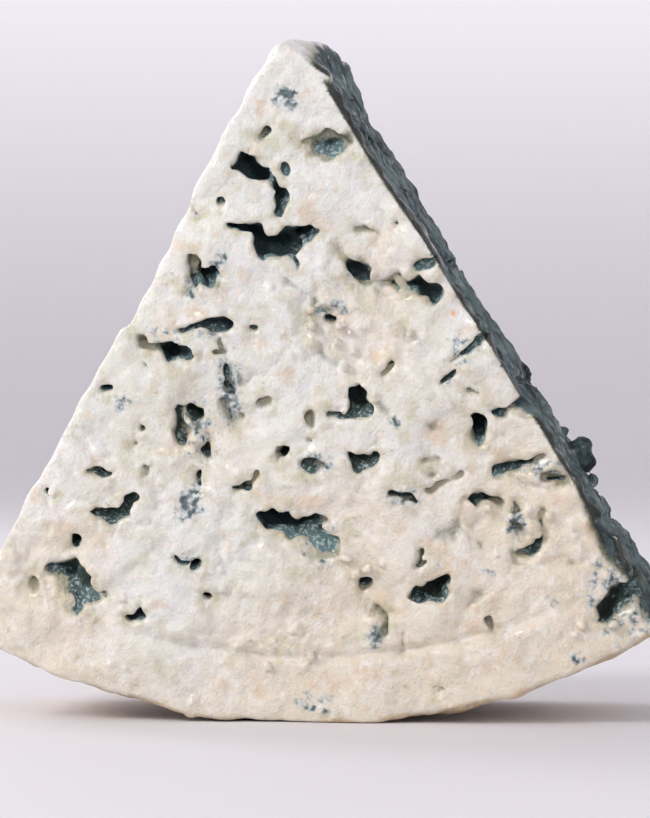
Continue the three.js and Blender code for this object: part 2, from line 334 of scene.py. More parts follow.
# %% Pits in the front face
FRONT_PITS = [
    (1.2, [(-6.7, 80.0, 0.9)]),
    (2.4, [(0.2, 77.2, 1.2), (2.4, 77.8, 2.1), (4.6, 78.2, 1.0), (5.6, 78.1, 0.4)]),
    (4.0, [(-8.5, 75.6, 1.7), (-7.0, 74.2, 1.5), (-5.4, 72.4, 0.6)]),
    (1.6, [(-3.5, 75.0, 0.8)]),
    (3.4, [(-4.2, 72.0, 0.6), (-4.3, 70.9, 1.0), (-4.6, 69.6, 0.6)]),
    (1.3, [(-12.2, 70.8, 0.7), (-12.6, 70.0, 0.5)]),
    (1.2, [(-17.0, 69.3, 0.35), (-16.2, 68.2, 0.4)]),
    (5.5, [(-10.5, 67.2, 0.4), (-8.3, 66.3, 1.1), (-6.6, 65.2, 2.0), (-4.7, 64.5, 1.6)]),
    (5.0, [(-4.7, 64.5, 1.6), (-2.8, 65.2, 2.0), (-0.6, 66.2, 1.3), (0.8, 66.9, 0.4)]),
    (1.5, [(-2.8, 63.8, 0.7), (-2.0, 62.3, 0.4)]),
    (1.7, [(-16.6, 63.6, 0.5), (-15.7, 62.4, 1.2), (-16.0, 60.4, 1.0), (-16.4, 58.7, 0.4)]),
    (6.0, [(-14.8, 61.3, 1.3), (-14.3, 60.5, 1.5)]),
    (2.4, [(-18.0, 54.2, 0.3), (-15.1, 54.1, 0.6), (-13.0, 53.8, 0.85), (-11.3, 54.2, 0.8)]),
    (1.2, [(-8.1, 53.2, 0.5)]),
    (2.0, [(-23.6, 51.7, 0.5), (-21.9, 50.9, 1.0), (-20.5, 50.4, 1.2)]),
    (4.5, [(-20.0, 50.2, 1.2), (-18.7, 49.6, 1.7), (-17.4, 49.0, 0.9)]),
    (1.4, [(0.8, 55.3, 0.9), (2.2, 55.0, 1.0)]),
    (4.0, [(2.1, 53.9, 0.7), (3.1, 53.7, 0.8)]),
    (1.6, [(3.4, 64.2, 0.35), (4.6, 62.9, 0.5), (5.6, 61.8, 1.1)]),
    (3.2, [(5.6, 61.6, 1.2), (6.1, 60.4, 1.3), (8.0, 59.0, 0.35)]),
    (2.6, [(9.8, 58.9, 1.2), (11.2, 58.6, 1.9)]),
    (1.6, [(14.2, 61.4, 0.9), (15.5, 61.7, 0.9)]),
    (3.6, [(14.3, 59.0, 1.1), (15.9, 58.0, 1.5)]),
    (1.4, [(5.7, 66.6, 0.4), (7.2, 66.1, 0.45), (8.7, 65.6, 0.35)]),
    (1.2, [(11.6, 67.3, 0.35)]),
    (4.4, [(6.4, 44.7, 1.9), (6.2, 43.2, 1.8), (5.7, 42.2, 1.2)]),
    (2.0, [(5.7, 42.2, 1.2), (3.9, 41.7, 0.7), (2.6, 41.5, 0.3)]),
    (2.2, [(6.4, 43.2, 1.0), (7.6, 42.6, 1.1)]),
    (5.5, [(22.2, 40.5, 1.05), (22.1, 38.8, 1.0)]),
    (2.8, [(24.8, 41.5, 0.3), (26.8, 42.2, 0.8), (28.6, 42.9, 1.6), (31.0, 43.0, 2.2)]),
    (1.8, [(23.3, 53.8, 0.5), (22.2, 51.2, 0.7), (19.3, 49.0, 0.35)]),
    (0.8, [(19.4, 47.1, 0.35), (18.1, 46.0, 0.4)]),
    (1.1, [(21.6, 44.8, 0.5), (22.6, 44.4, 0.5)]),
    (2.6, [(4.8, 35.8, 0.5), (6.2, 35.1, 0.95), (7.8, 35.4, 0.9), (9.0, 36.1, 0.45)]),
    (1.0, [(0.4, 35.0, 1.4), (1.8, 34.8, 0.8)]),
    (3.0, [(-4.0, 36.2, 0.9)]),
    (2.0, [(-10.4, 31.9, 0.5), (-9.2, 32.4, 0.8)]),
    (3.4, [(-27.8, 45.0, 0.95)]),
    (1.6, [(-23.2, 39.6, 0.5)]),
    (2.2, [(-24.4, 37.3, 0.65)]),
    (2.2, [(-18.3, 43.4, 0.4), (-18.0, 41.6, 0.9), (-17.4, 39.8, 1.2), (-17.7, 37.6, 0.6)]),
    (4.4, [(-16.6, 42.0, 0.8), (-15.6, 41.5, 1.3)]),
    (2.0, [(-14.9, 38.0, 0.45), (-14.3, 36.2, 0.55)]),
    (1.4, [(-11.6, 47.4, 0.5), (-11.3, 45.2, 0.6), (-10.4, 44.7, 0.5)]),
    (1.6, [(-11.5, 43.2, 0.6), (-10.3, 40.4, 0.5)]),
    (1.3, [(-7.4, 42.6, 0.9), (-6.4, 43.4, 0.8)]),
    (1.8, [(-30.2, 34.4, 0.4), (-28.6, 34.4, 0.55), (-27.4, 34.6, 0.35)]),
    (1.8, [(-35.3, 31.3, 0.8)]),
    (2.8, [(-30.5, 28.6, 0.4), (-29.0, 28.3, 0.8), (-27.4, 28.0, 1.2), (-25.9, 28.4, 1.3)]),
    (2.6, [(-25.9, 28.6, 1.1), (-25.0, 29.7, 0.8), (-24.5, 30.7, 0.6)]),
    (2.0, [(-15.1, 33.6, 0.5), (-15.3, 32.0, 0.6)]),
    (5.0, [(-6.7, 27.8, 1.1), (-5.0, 27.1, 1.8), (-2.7, 26.9, 1.7), (-0.5, 26.9, 1.5)]),
    (2.6, [(-0.5, 26.9, 1.5), (1.8, 27.1, 0.7)]),
    (2.2, [(-1.2, 25.8, 1.5), (0.6, 24.6, 1.9), (2.2, 23.2, 1.4), (2.8, 21.7, 0.6)]),
    (4.0, [(-32.4, 24.6, 0.7), (-32.7, 24.0, 0.7)]),
    (3.0, [(-36.3, 20.4, 0.6), (-34.7, 20.5, 1.3), (-33.6, 19.9, 1.5)]),
    (1.9, [(-33.4, 19.6, 1.7), (-31.9, 17.9, 2.2), (-30.0, 17.3, 1.5), (-28.7, 17.3, 0.6)]),
    (3.4, [(-38.2, 18.8, 0.85)]),
    (2.4, [(-24.7, 13.9, 0.6), (-23.3, 15.1, 0.9)]),
    (2.8, [(-15.5, 21.1, 0.65)]),
    (1.2, [(-18.1, 22.7, 0.3), (-16.6, 22.0, 0.4)]),
    (3.6, [(-14.3, 17.1, 0.75)]),
    (4.0, [(7.3, 18.2, 0.75)]),
    (2.2, [(8.7, 15.0, 0.6), (10.0, 13.9, 1.0), (10.4, 12.3, 0.6)]),
    (5.0, [(13.7, 16.8, 0.5), (15.2, 17.7, 1.3), (16.6, 18.3, 1.5), (17.7, 19.3, 0.7)]),
    (3.4, [(21.5, 29.7, 0.6), (22.9, 30.1, 1.2), (24.0, 29.9, 1.0), (25.0, 29.3, 0.4)]),
    (1.2, [(10.9, 31.2, 0.7), (13.0, 30.4, 0.8), (14.6, 29.6, 0.5)]),
    (2.8, [(24.9, 34.8, 0.5), (26.5, 34.3, 1.0), (28.2, 34.6, 0.9), (30.2, 35.1, 0.7)]),
    (1.8, [(30.2, 35.1, 0.7), (32.0, 35.7, 0.5)]),
    (2.6, [(31.6, 32.7, 0.6), (33.2, 32.7, 0.85)]),
    (1.8, [(27.0, 29.2, 0.5), (27.6, 27.4, 0.6), (28.0, 26.2, 0.4)]),
    (2.6, [(28.4, 23.5, 0.7), (30.0, 23.7, 0.95), (31.3, 24.8, 0.8), (31.5, 26.0, 0.4)]),
    (1.4, [(31.1, 28.4, 0.45), (31.2, 26.8, 0.4)]),
    (1.6, [(23.9, 14.3, 0.5), (24.5, 12.4, 0.35)]),
    (1.2, [(17.0, 4.4, 0.4)]),
    (5.0, [(38.6, 13.4, 0.6), (40.0, 15.0, 1.5), (41.8, 16.8, 2.2), (43.4, 18.6, 2.2)]),
    (4.5, [(43.4, 20.6, 1.2), (44.6, 18.0, 1.8), (45.6, 15.6, 1.8)]),
    (1.8, [(38.8, 27.0, 0.5), (40.0, 24.4, 0.8), (41.2, 21.6, 0.6)]),
]
NOTCHES = [
    (1.0, [(12.3, 52.5, 0.5), (12.6, 51.5, 0.6)]),
    (0.9, [(10.9, 47.9, 0.4), (10.4, 47.0, 0.5)]),
    (1.0, [(15.2, 35.6, 0.45), (16.6, 35.6, 0.5)]),
    (1.1, [(15.9, 31.9, 0.35), (18.0, 32.4, 0.5), (20.4, 33.6, 0.6)]),
    (1.0, [(-22.4, 34.8, 0.6)]),
    (0.9, [(-0.1, 41.4, 0.4), (0.0, 40.2, 0.5)]),
    (0.9, [(-0.4, 37.8, 0.45)]),
    (0.7, [(-12.4, 52.0, 0.3), (-12.2, 51.2, 0.4)]),
    (0.8, [(-13.4, 50.5, 0.35), (-12.0, 50.1, 0.45)]),
    (0.9, [(-7.7, 33.9, 0.45), (-8.5, 33.0, 0.4)]),
    (1.1, [(27.0, 23.6, 0.5), (28.0, 22.3, 0.6)]),
    (1.1, [(15.0, 23.5, 0.45), (15.6, 22.0, 0.55)]),
    (0.8, [(35.0, 21.1, 0.5)]),
    (0.9, [(22.6, 27.2, 0.4), (21.9, 26.1, 0.45)]),
]
print("pits and notches in the front:", len(FRONT_PITS), len(NOTCHES))

# %% [markdown]
# ## Pits in the side cuts and needle holes
#
# The side cuts open pits too, with many small ones and a few large, longer along the wheel's
# thickness. They are drawn at random, since any such cheese will do there. The needles that
# let air into the wheel left straight channels across the cuts and round holes in the back.

# %% Pits in the side cuts
SIDE_RNG = np.random.default_rng(SEED)


def side_pits(count):
    """Chains for a side cut: along is the way down from the apex, across is the depth Y."""
    chains = []
    for along in np.linspace(12, 90, count):
        across = SIDE_RNG.uniform(FRONT_Y + 7, BACK_Y - 5)
        size = 0.5 + 2.0 * SIDE_RNG.uniform(0, 1) ** 2.2
        turn = SIDE_RNG.uniform(-0.6, 0.6)
        reach = size * SIDE_RNG.uniform(1.2, 2.6)
        shift = (reach * math.sin(turn), reach * math.cos(turn))
        middle = (along, across, size)
        before = (along - shift[0], across - shift[1], size * 0.45)
        after = (along + shift[0], across + shift[1], size * 0.55)
        chains.append((1.0 + size * SIDE_RNG.uniform(0.5, 1.6), [before, middle, after]))
    return chains


NEEDLE_RADIUS = 0.75
LEFT_PITS = side_pits(34)
RIGHT_PITS = side_pits(44)
for along in (31, 50, 73):  # how far down each cut a needle went in
    needle = [(along, FRONT_Y + 6, NEEDLE_RADIUS), (along + 1.5, BACK_Y, NEEDLE_RADIUS)]
    LEFT_PITS.append((0.9, needle))
    RIGHT_PITS.append((0.9, [(a + 7, c, r) for a, c, r in needle]))
BACK_PITS = [
    (4.0, [(x + SIDE_RNG.uniform(-2, 2), z + SIDE_RNG.uniform(-2, 2), NEEDLE_RADIUS)])
    for z in (20, 42, 64)
    for x in (-30, -8, 12, 33)
    if beyond_cut(x, z, -1) < -5 and beyond_cut(x, z, 1) < -5
]
print("pits in the sides and needle holes in the back:", len(LEFT_PITS + RIGHT_PITS), len(BACK_PITS))

# %% [markdown]
# ## Carving
#
# A pit only reaches a small box of samples, so only that box is worked on. Each pit's wall is
# lumpy with curds of its own. The value kept is the distance outside the nearest pit, and the
# cheese is what is in the wedge and outside every pit, with a lip that is rounder in places.

# %% Carve the pits
warp_a = 0.24 * noise_block(2.3, 6) + 0.2 * noise_block(1.05, 9)
warp_b = 0.24 * noise_block(2.3, 7) + 0.2 * noise_block(1.05, 10)
FAR_OFF = 4.0  # stands for any distance well outside every pit
PIT_CURD = 2.3
CLIMB = 0.4  # how far a front pit rises for each mm that it goes in
pits = np.full(wedge.shape, FAR_OFF, dtype=np.float32)


def chain_distance(a, b, chain):
    """Distance outside a chain of circles: to each straight band, less its radius there.

    Along a band from one circle to the next, t goes from 0 to 1 and the radius is r0 + t (r1 - r0).
    """
    nearest = None
    for (a0, b0, r0), (a1, b1, r1) in zip(chain, chain[1:] or chain):
        da, db = a1 - a0, b1 - b0
        along = ((a - a0) * da + (b - b0) * db) / max(da * da + db * db, 1e-6)
        t = np.clip(along, 0, 1)
        d = np.hypot(a - a0 - t * da, b - b0 - t * db) - (r0 + t * (r1 - r0))
        nearest = d if nearest is None else np.minimum(nearest, d)
    return nearest


def box_around(centres, reach):
    """The slices of the block within reach of the lowest and highest of some points."""
    spots = np.array(centres)
    slices = []
    for axis, places in enumerate((xs, ys, zs)):
        a = np.searchsorted(places, spots[:, axis].min() - reach)
        b = np.searchsorted(places, spots[:, axis].max() + reach)
        slices.append(slice(a, max(b, a + 1)))
    return tuple(slices)


def carve(chain, depth, spots, across, up, into, climb=0.0):
    """Takes the pit's value, outline + shrink + curds, into pits where it is the least.

    The shrink is widest (s / depth)^2.4 at a depth s, so the pit closes at its full depth. A
    pit that climbs rises as it goes in, so its lower wall slopes and catches the light.
    """
    widest = max(link[2] for link in chain)
    box = box_around(spots, widest + depth + 1.5)
    whole = (np.broadcast_to(field, wedge.shape)[box] for field in (across, up, into, X, Y, Z))
    a, b, s, x, y, z = whole
    outline = chain_distance(a + warp_a[box], b + warp_b[box] - climb * s, chain)
    shrink = widest * (np.clip(s, 0, None) / depth) ** 2.4
    curds = (0.55 - curd_distance(x, y, z, PIT_CURD)) * 1.5
    rough = 0.12 * curd[box] + 0.14 * grain[box]
    fine = min(1.25, widest / 1.4)  # a small pit has smaller curds round it
    pits[box] = np.minimum(pits[box], outline + shrink + (curds + rough) * fine)


def carve_front(depth, chain):
    """A pit in the front: across is X, up is Z and the depth runs along Y."""
    spots = [(x, FRONT_Y, z) for x, z, _ in chain]
    carve(chain, depth, spots, X, Z, Y - FRONT_Y, climb=CLIMB)


def carve_back(depth, chain):
    """A pit in the back: the same, with the depth running the other way."""
    spots = [(x, BACK_Y, z) for x, z, _ in chain]
    carve(chain, depth, spots, X, Z, BACK_Y - Y)


def carve_side(depth, chain, side):
    """A pit in a side cut: along runs down the cut from the apex, and Y lies across it."""
    lean = LEFT_LEAN if side < 0 else RIGHT_LEAN
    sine, cosine = math.sin(lean), math.cos(lean)
    spots = [(APEX[0] + side * sine * a, y, APEX[1] - cosine * a) for a, y, _ in chain]
    along = side * sine * (X - APEX[0]) - cosine * (Z - APEX[1])
    carve(chain, depth, spots, along, Y, -beyond_cut(X, Z, side))


for depth, chain in FRONT_PITS + NOTCHES:
    carve_front(depth, chain)
for depth, chain in BACK_PITS:
    carve_back(depth, chain)
for depth, chain in LEFT_PITS:
    carve_side(depth, chain, -1)
for depth, chain in RIGHT_PITS:
    carve_side(depth, chain, 1)
lip = 0.45 + 0.6 * smooth_step(-0.5, 1.0, broad)
cheese = soft_max(wedge, -pits, lip)
print("share of the wedge that is pit:", round(float((pits < 0)[wedge < 0].mean()), 3))

# %% [markdown]
# ## Crumbs
#
# Some curds cling where the knife broke them out: in the mouths of pits, along the rim and,
# darkened with mould, on the right cut. These are placed one by one, and the front also has
# spots where finer crumbs are scattered at random. Each is a small ball whose surface follows
# the curds and the noise, joined to the cheese with a soft minimum so that it looks stuck on.
# Separate little meshes would be easier to place, but they would not be one piece with it.

# %% Crumbs that are placed, (x, y, z, radius)
CRUMBS = [
    (-15.8, -22.0, 38.3, 1.4),
    (-15.9, -22.4, 36.6, 0.7),
    (8.6, -22.3, 13.4, 0.8),
    (8.4, -22.2, 12.0, 0.6),
    (28.6, -22.3, 27.8, 0.9),
    (29.6, -22.4, 26.4, 1.0),
    (29.2, -22.2, 24.9, 0.7),
    (30.0, -22.3, 33.3, 0.9),
    (-4.2, -22.2, 35.8, 0.35),
    (42.0, -19.4, 15.6, 1.5),
    (43.4, -18.8, 14.8, 1.3),
    (-16.6, -22.2, 1.7, 1.2),
    (-16.2, -22.6, 2.8, 0.9),
    (1.6, -22.6, 1.6, 0.9),
    (3.4, -22.4, 1.4, 0.8),
    (6.2, -22.5, 2.0, 0.7),
    (34.9, 13.0, 36.1, 2.1),
    (35.8, 12.4, 34.7, 1.5),
    (32.2, 12.0, 39.0, 1.0),
    (36.7, 13.0, 32.2, 1.0),
]


def add_crumb(x, y, z, size):
    """Joins a ball of that radius, its surface moved by curds and grain, to the cheese."""
    box = box_around([(x, y, z)], size + 1.5)
    bx, by, bz = (np.broadcast_to(axis, wedge.shape)[box] for axis in (X, Y, Z))
    ball = np.sqrt((bx - x) ** 2 + (by - y) ** 2 + (bz - z) ** 2) - size
    ball = ball + (curd_distance(bx, by, bz, 1.1) - 0.5) * 0.25 * size + 0.15 * grain[box]
    cheese[box] = -soft_max(-cheese[box], -ball, 0.3)


# %% Crumbs that are scattered, round (across, up, spread)
CRUMBLY = [
    (-26.0, 25.5, 3.0),
    (-21.0, 17.5, 2.6),
    (-35.0, 30.0, 2.4),
    (-24.0, 14.5, 1.6),
    (-12.0, 20.0, 3.0),
    (-3.0, 10.0, 4.0),
    (-22.0, 7.5, 3.0),
    (3.0, 52.0, 3.0),
    (12.0, 22.0, 4.0),
    (28.0, 27.0, 2.4),
    (16.0, 48.0, 4.0),
    (33.0, 12.0, 3.0),
    (-5.0, 58.0, 3.0),
]
CRUMBS_EACH = 9
LEAST_CRUMB, MEAN_CRUMB, MOST_CRUMB = 0.3, 0.5, 0.7
crumb_rng = np.random.default_rng(SEED + 2)
for x, z, spread in CRUMBLY:
    throws = crumb_rng.normal(size=(CRUMBS_EACH, 3)) * (spread, spread * 0.6, 0.12)
    for along, above, change in throws:
        size = min(max(MEAN_CRUMB + change, LEAST_CRUMB), MOST_CRUMB)
        CRUMBS.append((x + along, FRONT_Y - 0.2, z + above, size))
for crumb in CRUMBS:
    add_crumb(*crumb)
print("crumbs:", len(CRUMBS))

# %% [markdown]
# ## The skin
#
# Every small cell of the block that has both inside and outside corners gets one vertex, at
# the mean of the places where its twelve edges cross zero. Every sample-to-sample edge that
# crosses zero gets one four-sided face, joining the vertices of the four cells round it. All
# of it is done for the whole block at once, and the result is closed by its making. Blender's
# metaballs and its Remesh modifier draw such skins too, but not from a field of one's own.

# %% Draw the skin
def cell_vertices(field, cells):
    """The mean of the zero crossings on the twelve edges of each cell, in mm."""
    i, j, k = cells
    total = np.zeros((len(i), 3), dtype=np.float32)
    count = np.zeros((len(i), 1), dtype=np.float32)
    places = (xs, ys, zs)
    for axis in range(3):
        others = [n for n in range(3) if n != axis]
        for p in (0, 1):
            for q in (0, 1):
                corner = [i, j, k]
                corner[others[0]] = corner[others[0]] + p
                corner[others[1]] = corner[others[1]] + q
                far = list(corner)
                far[axis] = far[axis] + 1
                a, b = field[tuple(corner)], field[tuple(far)]
                crosses = (a < 0) != (b < 0)
                t = np.where(crosses, a / np.where(crosses, a - b, 1), 0)
                spot = np.stack([places[n][corner[n]] for n in range(3)], 1)
                spot[:, axis] += t * (places[axis][far[axis]] - places[axis][corner[axis]])
                total += spot * crosses[:, None]
                count += crosses[:, None]
    return total / count


def skin(field):
    """Vertices in mm and four-sided faces, facing outwards, where the field is zero."""
    inside = field < 0
    corners = np.zeros([n - 1 for n in field.shape], dtype=np.int8)
    for p in (0, 1):
        for q in (0, 1):
            for r in (0, 1):
                nx, ny, nz = corners.shape
                corners += inside[p : p + nx, q : q + ny, r : r + nz]
    cells = np.nonzero((corners > 0) & (corners < 8))
    number = np.full(corners.shape, -1, dtype=np.int32)
    number[cells] = np.arange(len(cells[0]))
    faces = []
    for axis in range(3):
        a = [slice(None)] * 3
        b = [slice(None)] * 3
        a[axis], b[axis] = slice(None, -1), slice(1, None)
        u, v = (axis + 1) % 3, (axis + 2) % 3
        for way in (True, False):
            leaving = inside[tuple(a)] & ~inside[tuple(b)]
            if not way:
                leaving = ~inside[tuple(a)] & inside[tuple(b)]
            edge = list(np.nonzero(leaving))
            ring = []
            for du, dv in ((-1, -1), (0, -1), (0, 0), (-1, 0)):
                cell = list(edge)
                cell[u] = cell[u] + du
                cell[v] = cell[v] + dv
                ring.append(number[tuple(cell)])
            faces.append(np.stack(ring if way else ring[::-1], 1))
    return cell_vertices(field, cells), np.concatenate(faces)


def largest_shell(count, faces):
    """True for the vertices joined to most others, by passing the lowest number along edges."""
    label = np.arange(count)
    edges = np.concatenate([faces[:, [n, (n + 1) % 4]] for n in range(4)])
    while True:
        lowest = np.minimum(label[edges[:, 0]], label[edges[:, 1]])
        new = label.copy()
        np.minimum.at(new, edges[:, 0], lowest)
        np.minimum.at(new, edges[:, 1], lowest)
        new = new[new]
        if (new == label).all():
            break
        label = new
    names, sizes = np.unique(label, return_counts=True)
    return label == names[sizes.argmax()]


spots, quads = skin(cheese)
kept = largest_shell(len(spots), quads)
renumber = np.cumsum(kept) - 1
quads = renumber[quads[kept[quads[:, 0]]]]
spots = spots[kept]
print("skin:", len(spots), "vertices,", len(quads), "faces; loose bits dropped:", int((~kept).sum()))
print("the skin stays inside the block:", bool((cheese[:, 0] > 0).all() and (cheese[:, -1] > 0).all()))

# %% [markdown]
# ## From the skin to a Blender mesh
#
# The skin has the same fine faces on the smooth rind as on the crumbly front. Blender's
# Decimate modifier takes faces away where the surface is nearly flat and leaves them where it
# is not, which keeps the piece light. The vertices are in metres from here on.

# %% Make the mesh
def new_mesh(name, vertices, faces):
    """A mesh from whole arrays of vertices and equal-sided faces, shaded smooth."""
    mesh = bpy.data.meshes.new(name)
    sides = faces.shape[1]
    mesh.vertices.add(len(vertices))
    mesh.vertices.foreach_set("co", np.asarray(vertices, dtype=np.float32).ravel())
    mesh.loops.add(faces.size)
    mesh.loops.foreach_set("vertex_index", faces.astype(np.int32).ravel())
    mesh.polygons.add(len(faces))
    mesh.polygons.foreach_set("loop_start", np.arange(0, faces.size, sides, dtype=np.int32))
    mesh.polygons.foreach_set("use_smooth", np.ones(len(faces), dtype=bool))
    mesh.update(calc_edges=True)
    mesh.validate()
    return mesh


def new_object(name, mesh):
    """An object at the origin that shows the mesh, or another kind of data, in the scene."""
    piece = bpy.data.objects.new(name, mesh)
    bpy.context.scene.collection.objects.link(piece)
    return piece


rough_skin = new_object("blue_cheese", new_mesh("blue_cheese", spots * MM, quads))
thinner = rough_skin.modifiers.new("fewer_faces", "DECIMATE")
thinner.ratio = MOST_TRIANGLES / (2 * len(quads))
bpy.context.view_layer.update()
depsgraph = bpy.context.evaluated_depsgraph_get()
light_mesh = bpy.data.meshes.new_from_object(rough_skin.evaluated_get(depsgraph))
rough_skin.modifiers.clear()
rough_skin.data = light_mesh
wedge_piece = rough_skin
light_mesh.name = "blue_cheese"
print("triangles:", sum(len(p.vertices) - 2 for p in light_mesh.polygons))

# %% [markdown]
# ## Where the mould is
#
# The material has to know what grew where. That could be painted by hand, but the fields that
# made the shape already know it, so they are read back at each vertex: how far it is from a
# pit, how deep under the cut, which face it is on, and whether it faces up into the light. The
# mould of a pit starts a little under its lip, deeper in some places than in others.

# %% Read the fields at the vertices
points = np.empty(len(light_mesh.vertices) * 3, dtype=np.float32)
light_mesh.vertices.foreach_get("co", points)
points = points.reshape(-1, 3) / MM
px, py, pz = points.T


def at_points(field):
    """The field's value at each vertex, by weighing the eight samples round it."""
    found = []
    for places, value in zip((xs, ys, zs), (px, py, pz)):
        first = np.clip(np.searchsorted(places, value) - 1, 0, len(places) - 2)
        found.append((first, (value - places[first]) / (places[first + 1] - places[first])))
    total = np.zeros(len(px), dtype=np.float32)
    for corner in range(8):
        index, weight = [], 1.0
        for axis, (first, part) in enumerate(found):
            step = corner >> axis & 1
            index.append(first + step)
            weight = weight * (part if step else 1 - part)
        total += field[tuple(index)] * weight
    return total


from_pit = at_points(pits)
under_cut = -at_points(wedge)
facing = np.empty(len(px) * 3, dtype=np.float32)
light_mesh.vertex_normals.foreach_get("vector", facing)
facing = facing.reshape(-1, 3)
# How much each vertex faces up, front and left, towards the key light: the material paints light and
# shade in the pits with it.
faces_light = smooth_step(0.0, 0.8, 0.7 * facing[:, 2] - 0.6 * facing[:, 1] - 0.2 * facing[:, 0])
in_pit = 1 - smooth_step(0.15, 0.9, from_pit)
starts = 0.15 + 1.1 * smooth_step(-0.1, 1.3, at_points(rolling) + 0.5 * at_points(broad))
lining = in_pit * smooth_step(0, 1.1, under_cut - starts)
past_right = beyond_cut(px, pz, 1)
past_left = beyond_cut(px, pz, -1)
on_front = smooth_step(FRONT_Y + 2.2, FRONT_Y + 0.7, py)
on_right = smooth_step(-2.6, -1.2, past_right) * (1 - on_front)
on_left = smooth_step(-2.4, -0.9, past_left) * (1 - on_front)
from_axis = np.hypot(px - FOOT_X, pz - WHEEL_Z)
on_rind = smooth_step(WHEEL_RADIUS - 1.1, WHEEL_RADIUS - 0.3, from_axis + 0.25 * at_points(curd))
on_back = smooth_step(BACK_Y - 1.6, BACK_Y - 0.7, py)
print("mean lining:", round(float(lining.mean()), 3))

# %% [markdown]
# ## Stains
#
# Where mould grew just under the cut, or the knife wiped it along, the paste is flecked with
# blue-grey and there is no pit. Each stain is a soft round spot, and the material breaks it
# up into flecks, so the list stays short.

# %% Stains on the front, (across, up, half width, half height, strength)
STAINS = [
    (-3.4, 84.6, 1.7, 1.7, 0.9),
    (-11.2, 45.0, 1.5, 4.6, 0.75),
    (-16.5, 29.6, 2.0, 2.4, 0.8),
    (0.8, 35.0, 2.3, 1.3, 0.7),
    (-12.9, 62.4, 1.6, 1.8, 0.6),
    (-16.4, 58.6, 1.0, 2.0, 0.6),
    (-26.0, 43.2, 1.3, 1.4, 0.6),
    (-17.0, 21.9, 2.0, 1.0, 0.6),
    (8.6, 11.6, 1.2, 1.8, 0.6),
    (27.6, 27.0, 1.4, 2.4, 0.7),
    (20.2, 50.6, 2.8, 2.4, 0.45),
    (18.6, 46.4, 1.2, 1.0, 0.45),
    (12.6, 30.4, 2.6, 1.3, 0.55),
    (0.8, 2.6, 2.8, 1.8, 0.55),
    (35.9, 9.0, 1.0, 1.0, 0.6),
    (31.0, 34.4, 2.6, 1.4, 0.5),
    (1.4, 24.0, 3.0, 3.0, 0.5),
    (3.4, 56.0, 2.2, 1.8, 0.45),
    (-15.6, 39.4, 2.6, 4.0, 0.5),
    (42.6, 17.5, 5.0, 6.5, 0.6),
    (-20.2, 52.0, 3.0, 1.6, 0.45),
    (-14.6, 52.8, 3.0, 1.2, 0.4),
    (6.6, 60.8, 2.2, 2.4, 0.4),
    (11.3, 40.4, 0.8, 1.0, 0.6),
    (17.2, 21.3, 1.4, 0.6, 0.6),
    (23.8, 20.4, 1.6, 1.0, 0.4),
    (32.6, 16.6, 1.4, 1.0, 0.45),
]
print("stains:", len(STAINS))

# %% [markdown]
# ## Bare pits and pits in bloom
#
# Mould doesn't line every pit alike. Some are left bare and look olive, as the notches all
# do, and others are in full bloom, pale and powdery. The same kind of spots says where, and
# changes the lining that the depth alone would give.

# %% Where the pits are bare or in bloom, (across, up, half width, half height, strength)
BARE = [
    (-16.5, 62.6, 1.3, 2.4, 0.8),
    (-6.7, 80.0, 1.5, 1.7, 0.55),
    (-12.4, 70.4, 1.0, 1.4, 0.5),
    (-6.9, 43.0, 1.5, 1.4, 0.6),
    (-10.1, 32.1, 1.0, 0.9, 0.5),
    (-17.2, 40.0, 1.0, 1.8, 0.7),
    (4.2, 63.2, 1.6, 1.4, 0.7),
    (7.2, 66.1, 2.0, 0.8, 0.4),
    (-24.6, 14.2, 1.4, 0.9, 0.4),
    (12.6, 30.6, 2.4, 0.9, 0.5),
    (-30.2, 34.4, 1.0, 0.8, 0.6),
    (-22.0, 51.2, 1.8, 1.1, 0.7),
    (-17.6, 51.4, 1.5, 1.0, 0.6),
    (-11.6, 45.6, 0.9, 2.0, 0.5),
    (-10.4, 41.2, 1.2, 1.4, 0.5),
    (1.4, 35.2, 2.2, 1.0, 0.6),
    (30.6, 44.2, 2.2, 1.0, 0.5),
    (-28.6, 29.4, 2.4, 0.8, 0.6),
    (9.2, 14.2, 1.4, 1.6, 0.4),
    (2.6, 22.6, 1.2, 1.2, 0.5),
]
NOTCH_SPOT = (1.1, 1.0, 1.0)
BARE += [(x, z, *NOTCH_SPOT) for _, chain in NOTCHES for x, z, _ in chain]
IN_BLOOM = [
    (-35.2, 20.8, 2.2, 1.3, 0.9),
    (-3.5, 75.0, 1.2, 1.3, 1.0),
    (1.0, 55.4, 1.4, 1.0, 0.9),
    (14.9, 61.8, 1.2, 1.2, 0.8),
    (1.4, 25.2, 2.6, 2.6, 1.0),
    (-2.6, 25.8, 3.0, 1.0, 0.7),
    (-31.8, 18.4, 2.6, 1.8, 0.8),
    (2.3, 77.9, 2.6, 1.7, 1.0),
    (-1.4, 64.6, 1.6, 1.2, 0.6),
    (5.4, 42.8, 1.6, 1.4, 0.5),
    (42.2, 15.6, 2.2, 1.8, 0.8),
    (-26.6, 27.8, 2.2, 1.2, 0.6),
    (29.2, 26.6, 2.4, 3.0, 0.7),
    (15.2, 17.0, 1.4, 0.8, 0.4),
    (10.6, 58.7, 2.0, 1.3, 0.8),
]


def covered(spots):
    """The strongest of some soft round spots at each vertex, on the front and in its pits."""
    cover = np.zeros(len(px), dtype=np.float32)
    for x, z, half_width, half_height, strength in spots:
        away = ((px - x) / half_width) ** 2 + ((pz - z) / half_height) ** 2
        cover = np.maximum(cover, strength * np.exp(-0.9 * away))
    return cover * smooth_step(FRONT_Y + 8, FRONT_Y + 4, py)


